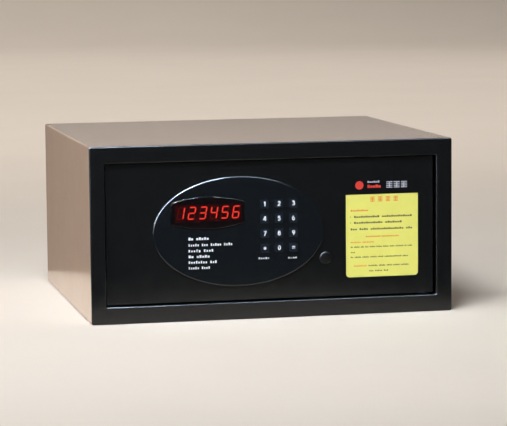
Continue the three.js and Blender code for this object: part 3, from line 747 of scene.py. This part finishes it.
# What is printed on the sticker, by colour: rows for letter_marks, large characters, and a disc.
DARK_ROWS = (
    (94.6, 163.6, 111.9, 2.2, (11, 13), 0.74),
    (90.1, 90.8, 111.9, 1.6, (1,), 0.66),
    (94.6, 151.6, 105.1, 2.2, (12, 7), 0.74),
    (90.1, 90.8, 105.1, 1.6, (1,), 0.66),
    (90.6, 164.1, 97.7, 2.2, (3, 4, 15, 3), 0.74),
    (90.6, 163.6, 77.2, 1.6, (2, 5, 3, 3, 5, 5, 5, 4, 7, 2, 4), 0.66),
    (90.6, 95.6, 71, 1.4, (4,), 0.66),
    (90.6, 158.6, 65.5, 1.6, (2, 5, 5, 5, 4, 13, 4), 0.66),
    (111.6, 159.6, 55.4, 1.6, (7, 5, 4, 5, 6), 0.66),
    (112.6, 135.1, 49.3, 1.6, (3, 5, 3), 0.66),
)
ORANGE_ROWS = (
    (90.6, 111.6, 119.2, 2.0, (8,), 0.76),
    (94.6, 109.6, 55.4, 1.6, (9,), 0.66),
    (108.6, 148.1, 89, 1.7, (9, 11), 0.66),
    (90.6, 118.6, 82.6, 1.5, (7, 8), 0.66),
)
RED_ROWS = ((110.5, 126.5, 146.6, 3.6, (5,), 0.9),)
GREY_ROWS = ((110.5, 125, 151.7, 2.2, (6,), 0.8),)
# First one's middle (x, z), step, how many, width and height, in millimetres.
ORANGE_CHARACTERS = (116.4, 131.8, 9.2, 4, 5.2, 5.6)
GREY_CHARACTERS = (136.6, 148, 8.6, 3, 7.2, 7.2)
DISC = {"x": 101 * MM, "z": 148 * MM, "radius": 4.8 * MM}


def characters(x, z, step, count, width, height):
    return [part for i in range(count) for part in barred(x + step * i, z, width, height)]


def add_label():
    """The sticker: a dark film with a coloured field, and printing on both."""
    low, high = LABEL
    r, margin, split = STICKER["corner"], STICKER["margin"], STICKER["split"]
    back = DOOR_FACE - STICKER["gap"]
    front = back - STICKER["film"]
    bm = bmesh.new()
    add_plate(
        bm, rectangle(low.x, high.x, low.z, high.z, r), front, back, STICKER["edge"], steps=2
    )
    piece = finished(bm, "sticker_film", [BLACK_INK], "door")
    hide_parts("instruction_label")
    x0, x1, z0 = low.x + margin, high.x - margin, low.z + margin
    field = arc(x1 - r, z0 + r, r, r, -90, 0, 8) + [(x1, split), (x0, split)]
    field += arc(x0 + r, z0 + r, r, r, 180, 270, 8)
    lift = STICKER["field_lift"]
    add_print("sticker_field", [field], front, FINISH["label_film"], lift=lift)
    face = front - lift - INK
    add_print("sticker_text", letter_marks(DARK_ROWS), face, DARK_INK, lift=0.0)
    orange = letter_marks(ORANGE_ROWS) + characters(*ORANGE_CHARACTERS)
    add_print("sticker_titles", orange, face, ORANGE_INK, lift=0.0)
    disc = ellipse(DISC["x"], DISC["z"], DISC["radius"], DISC["radius"], 48)
    add_print("sticker_mark", [disc] + letter_marks(RED_ROWS), front, RED_INK)
    grey = letter_marks(GREY_ROWS) + characters(*GREY_CHARACTERS)
    add_print("sticker_header", grey, front, GREY_INK)


# ---------------------------------------------------------------- emergency keyhole cap


CAP_RIM = 0.9 * MM  # straight side of the cap, under its dome
CAP_STEM = 4.9 * MM
DOME_STEPS = 12


def add_cap():
    """The domed round cap over the emergency keyhole, with a stem into the door."""
    radius = (CAP[1].x - CAP[0].x) / 2
    front, back = CAP[0].y, DOOR_FACE - OFF_DOOR
    rim = back - CAP_RIM
    turns = [math.pi / 2 * i / DOME_STEPS for i in range(DOME_STEPS + 1)]
    profile = [(radius * math.sin(a), rim - (rim - front) * math.cos(a)) for a in turns]
    profile += [(radius, back), (CAP_STEM, back), (CAP_STEM, CAP[1].y), (0, CAP[1].y)]
    bm = bmesh.new()
    add_turned(bm, profile, middle(CAP))
    materials = [FINISH["cap_plastic"]]
    piece = finished(bm, "keyhole_cover", materials, "keyhole_cap", 50)
    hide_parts("override_cap")


# ---------------------------------------------------------------- inside

CARPET = {"columns": 100, "rows": 80, "pile": 0.35 * MM, "edge": 0.9 * MM, "seed": 11}
SCREW = {
    "thread": 1.4 * MM,  # radius
    "point": 0.84 * MM,  # radius of the blunt end
    "end": 0.6 * MM,
    "taper": 0.8 * MM,
    "head": 1.8 * MM,  # height
    "crown": 1.1 * MM,
    "arm": 1.45 * MM,  # of the cross recess
    "half": 0.36 * MM,
    "depth": 1.2 * MM,
    "turn": 17,  # degrees between one screw's cross and the next one's
}
PAN_STEPS, PAN_FLATNESS = 8, 0.6
GRIP = {
    "ribs": 5,
    "first": 12 * MM,  # over the hatch's lower edge
    "pitch": 2.4 * MM,
    "reach": 9 * MM,
    "half": 0.45 * MM,
    "height": 0.4 * MM,
    "root": 0.2 * MM,
    "edge": 0.25 * MM,
}


def add_carpet():
    """A needle-felt mat with a soft, slightly uneven top and rolled-down cut edges."""
    low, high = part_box("floor_mat")
    columns, rows, pile, edge = (CARPET[k] for k in ("columns", "rows", "pile", "edge"))
    draw = random.Random(CARPET["seed"])
    bm = bmesh.new()
    top, base = [], []
    for j in range(rows + 1):
        for i in range(columns + 1):
            x = low.x + (high.x - low.x) * i / columns
            y = low.y + (high.y - low.y) * j / rows
            rim = i in (0, columns) or j in (0, rows)
            # Two crossing waves, of lengths that share no pattern with the grid.
            wave = math.sin(i * 0.31 + j * 0.17) * math.sin(j * 0.23 - i * 0.09)
            z = high.z - (edge if rim else pile * (0.5 + 0.25 * wave + 0.25 * draw.random()))
            top.append(bm.verts.new((x, y, z)))
            base.append(bm.verts.new((x, y, low.z)) if rim else None)
    wide = columns + 1
    for j in range(rows):
        for i in range(columns):
            a = j * wide + i
            bm.faces.new((top[a], top[a + 1], top[a + wide + 1], top[a + wide]))
    border = list(range(wide))
    border += [j * wide + columns for j in range(1, rows + 1)]
    border += [rows * wide + i for i in range(columns - 1, -1, -1)]
    border += [j * wide for j in range(rows - 1, 0, -1)]
    for a, b in zip(border, border[1:] + border[:1]):
        bm.faces.new((base[a], base[b], top[b], top[a]))
    bm.faces.new([base[a] for a in reversed(border)])
    piece = finished(bm, "felt_mat", [FINISH["carpet"]], "case", 70)
    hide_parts("floor_mat")


def carved(base, tool):
    """The first mesh with the second cut out of it."""
    pair = []
    for bm in (base, tool):
        bmesh.ops.recalc_face_normals(bm, faces=bm.faces)
        mesh = bpy.data.meshes.new("carving")
        bm.to_mesh(mesh)
        bm.free()
        pair.append(bpy.data.objects.new("carving", mesh))
        bpy.context.scene.collection.objects.link(pair[-1])
    cut = pair[0].modifiers.new("cut", "BOOLEAN")
    cut.object = pair[1]
    cut.solver = "EXACT"
    result = bmesh.new()
    result.from_object(pair[0], bpy.context.evaluated_depsgraph_get())
    for piece in pair:
        bpy.data.objects.remove(piece)
    return result


def add_screws():
    """The inner cover's pan-head screws, each with a cross recess."""
    thread, point, arm, half = (SCREW[k] for k in ("thread", "point", "arm", "half"))
    for i in range(1, 7):
        low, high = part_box(f"cover_screw_{i}")
        c = middle((low, high))
        head = (high.x - low.x) / 2
        tip, seat = low.y + SCREW["end"], high.y - SCREW["head"]
        profile = [(0, tip), (point, tip), (thread, tip + SCREW["taper"]), (thread, seat)]
        profile.append((head, seat))
        for turn in range(PAN_STEPS):
            a = math.pi / 2 * turn / PAN_STEPS
            drop = SCREW["crown"] * (1 - math.sin(a))
            profile.append((head * math.cos(a) ** PAN_FLATNESS, high.y - drop))
        profile.append((0, high.y))
        bm = bmesh.new()
        add_turned(bm, profile, c, 48)
        outline = []
        for quarter in range(4):
            a = math.pi / 2 * quarter + math.radians(SCREW["turn"] * i)
            for x, z in ((arm, -half), (arm, half), (half, half)):
                across = x * math.cos(a) - z * math.sin(a)
                outline.append((c.x + across, c.z + x * math.sin(a) + z * math.cos(a)))
        cross = bmesh.new()
        add_plate(cross, outline, high.y - SCREW["depth"], high.y + 1 * MM)
        materials = [FINISH["bright_steel"]]
        carving = carved(bm, cross)
        piece = finished(carving, f"cross_screw_{i}", materials, "door", 35)
        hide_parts(f"cover_screw_{i}")


def add_hatch_grip():
    """Raised ribs over the thumb notch of the battery hatch."""
    low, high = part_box("battery_hatch")
    c = middle((low, high))
    reach, half = GRIP["reach"], GRIP["half"]
    root, crest = high.y - GRIP["root"], high.y + GRIP["height"]
    bm = bmesh.new()
    for i in range(GRIP["ribs"]):
        z = low.z + GRIP["first"] + GRIP["pitch"] * i
        outline = rectangle(c.x - reach, c.x + reach, z - half, z + half, half * 0.95, 4)
        add_plate(bm, outline, root, crest, back_edge=GRIP["edge"], steps=3)
    finished(bm, "hatch_grip", [FINISH["cover_plastic"]], "hatch")


# ---------------------------------------------------------------- studio

COOL, WARM = (0.66, 0.82, 1.0), (1.0, 0.95, 0.9)
SKY = {"color": (0.86, 0.92, 1.0, 1), "strength": 0.1}
FLOOR = (0.58, 0.525, 0.465)
STAGE = {"near": 0.36, "flat": 7.0, "bend": 2.4, "wall": 4.0, "turns": 128, "steps": 24}
FLOOR_DROP = {"floor": 0.4 * MM, "floor_near": 0.2 * MM}
# Each lamp's place, target, size, power, colour and spread in degrees.
LAMPS = {
    "key": ((-0.55, -1.05, 1.75), (0, -0.1, 0.05), (0.8, 0.5), 11.7, (0.92, 0.96, 1.0), 85),
    "left": ((-2.3, -0.5, 0.9), (0, 0, 0.1), (0.9, 0.9), 5.9, WARM, 70),
    "backdrop": ((0, 1.4, 2.6), (0, 3.3, 0), (3.0, 1.0), 50, WARM, 140),
    "card": ((0, 3.1, 1.1), (0, 0, 0.6), (6.5, 1.5), 6.5, (1.0, 0.96, 0.92), 180),
    "brow": ((0, -1.1, 1.7), (0, FRONT, 0.2), (2.6, 0.1), 14, COOL, 180),
}
REFLECTED_ONLY = ("card", "brow")
# A ring of high lamps that light the far floor, seen in no reflection.
FAR = {"count": 6, "radius": 6, "height": 4.5, "size": (5, 5), "power": 85, "spread": 95}
# Strip lights in an arch over the front, left to right: direction in degrees, and power.
ARCH = {
    "radius": 1.5,
    "forward": 0.6,
    "size": (0.57, 0.12),
    "strips": ((176, 6), (158, 45), (137, 70), (116, 78), (95, 84), (68, 14)),
}


def area_light(name, place, target, size, power, color, spread=180):
    data = bpy.data.lights.new(name, "AREA")
    data.shape = "RECTANGLE"
    data.size, data.size_y = size
    data.energy = power
    data.color = color
    data.spread = math.radians(spread)
    lamp = bpy.data.objects.new(name, data)
    lamp.location = place
    lamp.rotation_mode = "QUATERNION"
    lamp.rotation_quaternion = (Vector(target) - Vector(place)).to_track_quat("-Z", "Y")
    bpy.context.scene.collection.objects.link(lamp)
    return lamp


def add_arch():
    """Narrow strips that only draw highlights along rounded edges."""
    centre, radius = middle(OVAL), ARCH["radius"]
    target = Vector((centre.x, FRONT, centre.z))
    for i, (angle, power) in enumerate(ARCH["strips"]):
        a = math.radians(angle)
        x, z = centre.x + radius * math.cos(a), centre.z + radius * math.sin(a)
        place = Vector((x, FRONT - ARCH["forward"], z))
        along = Vector((-math.sin(a), 0, math.cos(a)))
        lamp = area_light(f"strip_{i}", place, target, ARCH["size"], power, COOL)
        lamp.visible_diffuse = False
        lamp.visible_camera = False
        away = (target - place).normalized()
        across = away.cross(along).normalized()
        turn = Matrix((along, -across, -away)).transposed()
        lamp.rotation_quaternion = turn.to_quaternion()


def staged(name, bm, material):
    """A piece of the floor, a little below the object so that no two faces coincide."""
    mesh = bpy.data.meshes.new(name)
    bm.to_mesh(mesh)
    bm.free()
    mesh.shade_smooth()
    mesh.materials.append(material)
    piece = bpy.data.objects.new(name, mesh)
    piece.location.z = -FLOOR_DROP[name]
    bpy.context.scene.collection.objects.link(piece)
    return piece


def add_stage():
    """A round pale floor that curves up into a wall; only its middle shows in reflections."""
    flat, bend, steps = STAGE["flat"], STAGE["bend"], STAGE["steps"]
    profile = [(0.0, 0.0), (1.0, 0.0), (flat, 0.0)]
    for i in range(1, steps + 1):
        a = math.pi / 2 * i / steps
        profile.append((flat + bend * math.sin(a), bend * (1 - math.cos(a))))
    profile.append((profile[-1][0], STAGE["wall"]))
    bm = bmesh.new()
    rings = []
    for radius, z in profile:
        rings.append([bm.verts.new((x, y, z)) for x, y in turned_ring(radius, STAGE["turns"])])
    bridge(bm, rings, STAGE["turns"])
    material = principled("floor", FLOOR, 0.7, Specular_IOR_Level=0.0)
    add_mottle(material, 3, 0.015)
    far = staged("floor", bm, material)
    far.visible_glossy = False
    bm = bmesh.new()
    bmesh.ops.create_circle(bm, cap_ends=True, segments=96, radius=STAGE["near"])
    staged("floor_near", bm, material)


def add_studio():
    world = bpy.data.worlds.new("studio")
    bpy.context.scene.world = world
    world.use_nodes = True
    sky = world.node_tree.nodes["Background"]
    sky.inputs["Color"].default_value = SKY["color"]
    sky.inputs["Strength"].default_value = SKY["strength"]
    add_stage()
    for name, row in LAMPS.items():
        lamp = area_light(name, *row)
        if name in REFLECTED_ONLY:
            lamp.visible_diffuse = False
            lamp.visible_camera = False
    for i in range(FAR["count"]):
        a = 2 * math.pi * i / FAR["count"]
        x, y = FAR["radius"] * math.sin(a), FAR["radius"] * math.cos(a)
        place, target = (x, y, FAR["height"]), (x, y + MM, 0)
        lamp = area_light(f"far_{i}", place, target, FAR["size"], FAR["power"], WARM, FAR["spread"])
        lamp.visible_glossy = False
        lamp.visible_camera = False
    add_arch()
    bpy.context.scene.view_settings.view_transform = "Standard"


# ---------------------------------------------------------------- the scene

add_camera()
finish_cad_nodes()
add_housing()
add_lens()
add_display()
add_legends()
add_captions()
add_label()
add_cap()
add_carpet()
add_screws()
add_hatch_grip()
add_studio()

bpy.context.view_layer.update()
